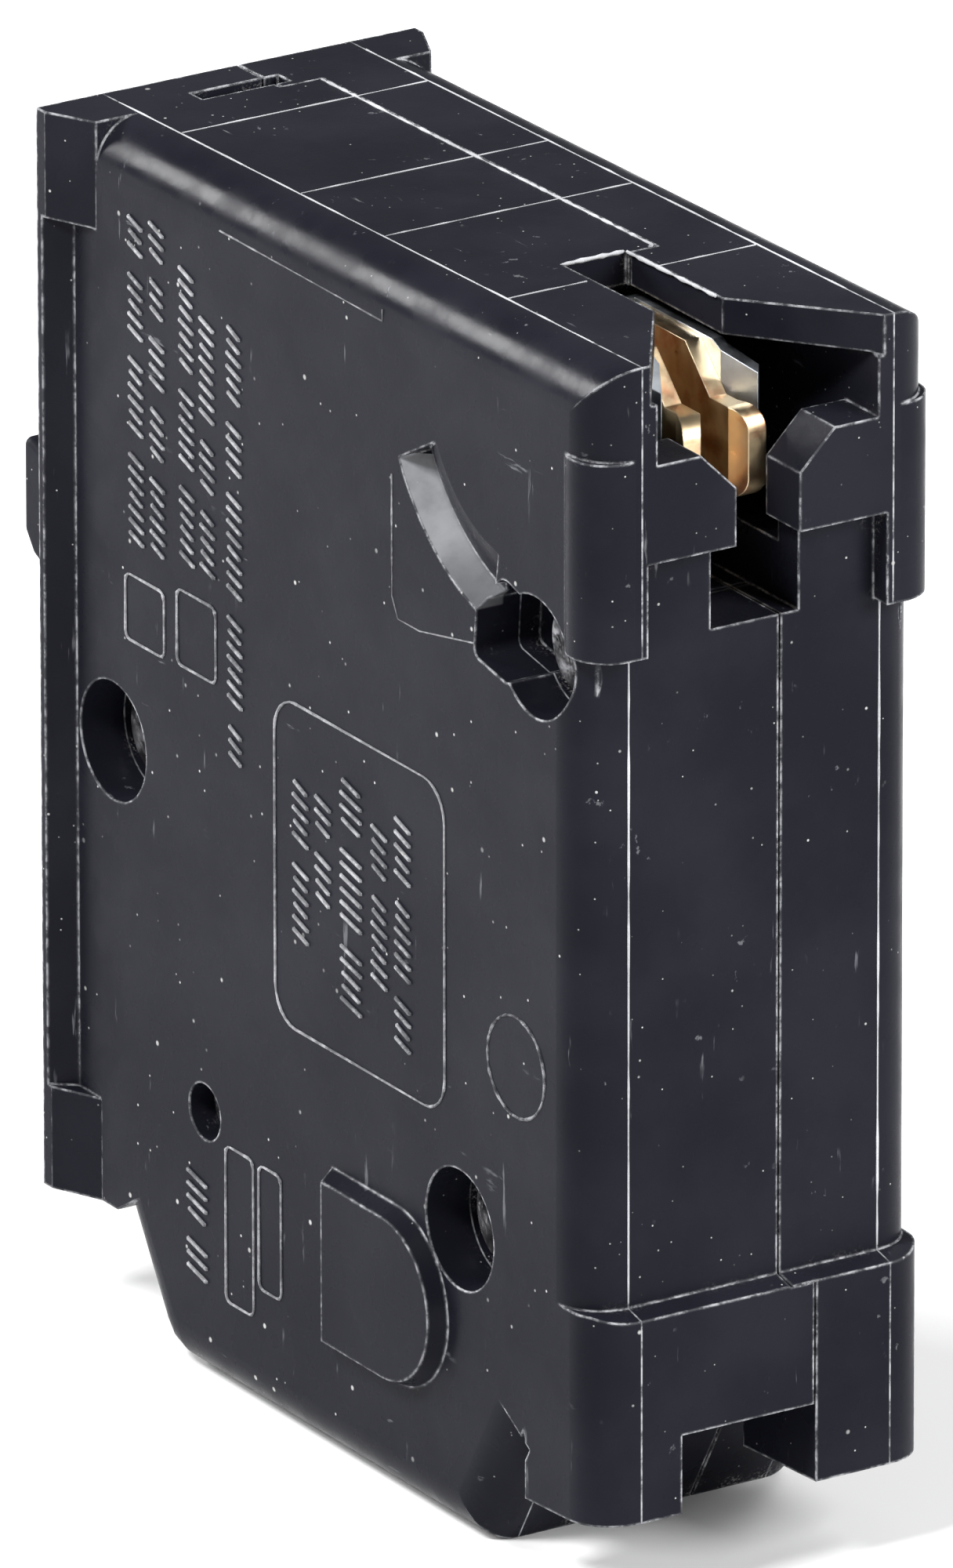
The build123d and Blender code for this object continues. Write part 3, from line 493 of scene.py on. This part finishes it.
def panel_strokes(bm):
    """Stroke columns inside the round-cornered frame."""
    for index, (dy, low, high, size) in enumerate(PANEL_COLUMNS):
        stroke_column(bm, Y_BACK + dy, low, high, size, 50 + index)


def panel_frame(bm):
    """Frame with round corners in the middle of the side."""
    loop = rounded_loop(Y_BACK - 34.1, Y_BACK - 16.0, 25.2, 45.0, 2.2)
    tube(bm, [(MARK_X, y, z) for y, z in loop], 0.085, 3, closed=True, waver=0.3)


def gauge_marks(bm):
    """Plain outlined bars and boxes."""
    for low_y, high_y, low_z, high_z in (
        (-39.6, -36.6, 6.0, 15.6), (-36.0, -33.6, 8.0, 15.6),
        (-50.2, -46.0, 43.2, 47.2), (-44.6, -40.4, 43.4, 48.0),
    ):
        loop = rounded_loop(Y_BACK + low_y, Y_BACK + high_y, low_z, high_z, 0.5, 3)
        tube(bm, [(MARK_X, y, z) for y, z in loop], 0.095, 8, closed=True, waver=0.3)


def ejector_disc(bm):
    """Plain witness mark of a mould pin."""
    centre_y, centre_z, radius = Y_BACK - 8.5, 30.7, 3.0
    loop = []
    for k in range(48):
        angle = 2 * math.pi * k / 48
        loop.append((SIDE_X, centre_y + radius * math.cos(angle), centre_z + radius * math.sin(angle)))
    tube(bm, loop, 0.09, 5, closed=True, waver=0.3)


def top_z(y):
    """Height of the sloping top."""
    return Z_TOP - (Y_BACK - y) * TOP_SLOPE


def parting_ridges(bm):
    """Mould flash along the top and down the recessed back."""
    seed = 70
    for side in (-FLASH_X, FLASH_X):
        start, end = Y_BACK - 55.5, Y_BACK - 5.0
        path = finely([(side, start, top_z(start) - SINK), (side, end, top_z(end) - SINK)])
        tube(bm, path, 0.07, seed)
        path = finely([(side, Y_RECESS - SINK, 18.2), (side, Y_RECESS - SINK, 57.0)])
        tube(bm, path, 0.07, seed + 1)
        seed += 2
    for dy, low, high in (
        (-48.8, -8.2, 8.2), (-36.0, -8.2, 8.2), (-27.05, -8.2, 8.2),
        (-14.1, -8.2, -1.7), (-14.1, 3.0, 8.2),
    ):
        y = Y_BACK + dy
        path = finely([(low, y, top_z(y) - SINK), (high, y, top_z(y) - SINK)])
        tube(bm, path, 0.06, seed)
        seed += 1


def seam_flash(bm):
    """Bright uneven flash along the seam on the top and round the stab notch."""
    paths = (
        [(-3.4, -52.4), (-3.4, -17.4), (-3.1, -17.1)],
        [(2.7, -17.35), (-1.5, -17.35)],
        [(-1.62, -17.2), (-1.62, -8.0)],
    )
    for index, corners in enumerate(paths):
        line = [(x, Y_BACK + dy, top_z(Y_BACK + dy) - SINK) for x, dy in corners]
        tube(bm, finely(line, 0.5), 0.1, 120 + index, waver=0.6)


def insert_ridges(bm):
    """Outline of a mould insert near the top of the near side."""
    for corners in (
        [(-22.45, 71.6), (-22.45, 70.9), (-39.8, 71.0)],
        [(-21.5, 62.1), (-21.5, 54.8), (-20.9, 53.6), (-18.6, 53.6), (-12.9, 54.7)],
    ):
        path = finely([(SIDE_X, Y_BACK + dy, z) for dy, z in corners])
        tube(bm, path, 0.055, 90 + len(corners))


def add_details(materials):
    # The strokes, panel frame, gauge marks and insert outline get the lighter mark plastic: a painted
    # highlight on raised ridges of the dark case plastic
    marks, case, flash = (materials[name] for name in ("mark_plastic_painted_highlight", "case_plastic", "flash_plastic"))
    piece_from("instruction_strokes", instruction_strokes, marks)
    piece_from("panel_strokes", panel_strokes, marks)
    piece_from("panel_frame", panel_frame, marks)
    piece_from("gauge_marks", gauge_marks, marks)
    piece_from("ejector_disc", ejector_disc, case)
    piece_from("parting_ridges", parting_ridges, flash)
    piece_from("seam_flash", seam_flash, flash)
    piece_from("insert_ridges", insert_ridges, marks)


# ---------------------------------------------------------------- the spring and the braid, which flex on the real breaker, in one pose
def coil_spring(bm):
    """Closed round wire wound between the two spring ends."""
    start, end = (Vector(point) for point in SPRING_ENDS)
    axis = (end - start).normalized()
    flat = Vector((1, 0, 0))
    upright = axis.cross(flat)
    turns, steps, sides, coil_radius, wire_radius = 6, 144, 8, 1.2, 0.22
    rings = []
    for i in range(steps + 1):
        angle = 2 * math.pi * turns * i / steps
        outward = flat * math.cos(angle) + upright * math.sin(angle)
        centre = start.lerp(end, i / steps) + outward * coil_radius
        rings.append(ring_at(bm, centre, outward, axis, wire_radius, sides))
    skin(bm, rings)


def copper_braid(bm):
    """Round lead along the braid's path, with its corners cut until they are round."""
    points = [Vector(point) for point in BRAID_PATH]
    for _ in range(3):
        cut = [points[0]]
        for a, b in zip(points, points[1:]):
            cut += [a.lerp(b, 0.25), a.lerp(b, 0.75)]
        points = cut + [points[-1]]
    tube(bm, points, 0.8, seed=71, sides=12, waver=0.0)


def add_flexing_pieces(materials):
    """Builds the spring and the braid in one pose, from the case to the contact arm, in place of their
    CAD nodes, which it hides.
    """
    for build, node, slot, start, end in (
        (coil_spring, "operating_spring", "spring_steel", *SPRING_ENDS),
        (copper_braid, "flexible_braid", "copper", BRAID_PATH[0], BRAID_PATH[-1]),
    ):
        piece = piece_from(build.__name__, build, materials[slot], body=None)
        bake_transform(piece)
        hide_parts(node)


# ---------------------------------------------------------------- camera, light, floor
def add_camera():
    azimuth, elevation, roll = (math.radians(a) for a in (AZIMUTH, ELEVATION, ROLL))
    back = Vector((
        math.sin(azimuth) * math.cos(elevation),
        -math.cos(azimuth) * math.cos(elevation),
        math.sin(elevation),
    ))
    right = (-back).cross(Vector((0, 0, 1))).normalized()
    up = right.cross(-back)
    turned_right = right * math.cos(roll) + up * math.sin(roll)
    turned_up = up * math.cos(roll) - right * math.sin(roll)
    place = (Vector(AIM) + back * DISTANCE) * MM
    data = bpy.data.cameras.new("camera")
    data.sensor_fit = "VERTICAL"
    data.sensor_height = 36.0
    data.lens = LENS
    data.shift_x, data.shift_y = SHIFT
    data.clip_end = 20
    camera = bpy.data.objects.new("camera", data)
    turn = Matrix((turned_right, turned_up, back)).transposed().to_4x4()
    camera.matrix_world = Matrix.Translation(place) @ turn
    bpy.context.scene.collection.objects.link(camera)
    bpy.context.scene.camera = camera


def add_softbox(name, place, target, size, power):
    """Rectangular light at a place, in metres, that faces its target."""
    data = bpy.data.lights.new(name, "AREA")
    data.shape = "RECTANGLE"
    data.size, data.size_y = size
    data.energy = power
    lamp = bpy.data.objects.new(name, data)
    aim = Vector(place) - Vector(target)
    turn = aim.to_track_quat("Z", "Y").to_matrix().to_4x4()
    lamp.matrix_world = Matrix.Translation(place) @ turn
    bpy.context.scene.collection.objects.link(lamp)


def add_light():
    middle = (0, 0, 0.04)
    add_softbox("key_softbox", (-0.4, 0.75, 0.5), middle, (0.5, 0.5), 12)
    add_softbox("high_softbox", (0.54, 0.12, 0.75), middle, (0.2, 0.2), 8)
    add_softbox("rim_softbox", (0.58, -0.98, 0.48), middle, (0.35, 0.4), 17)
    add_softbox("backdrop_softbox", (-0.7, -0.3, 0.6), (-0.25, -0.25, 0), (0.4, 0.4), 3)
    world = bpy.data.worlds.new("studio")
    world.use_nodes = True
    background = world.node_tree.nodes["Background"]
    background.inputs["Color"].default_value = (1, 1, 1, 1)
    background.inputs["Strength"].default_value = 0.2
    bpy.context.scene.world = world
    bpy.context.scene.view_settings.view_transform = "Standard"


def add_floor():
    mesh = bpy.data.meshes.new("floor")
    half = 6.0
    corners = [(-half, -half, 0), (half, -half, 0), (half, half, 0), (-half, half, 0)]
    mesh.from_pydata(corners, [], [(0, 1, 2, 3)])
    mesh.materials.append(pale_floor("floor"))
    floor = bpy.data.objects.new("floor", mesh)
    bpy.context.scene.collection.objects.link(floor)


materials = make_materials()
dress_frame(materials)
add_details(materials)
add_flexing_pieces(materials)
add_camera()
add_light()
add_floor()
bpy.context.view_layer.update()
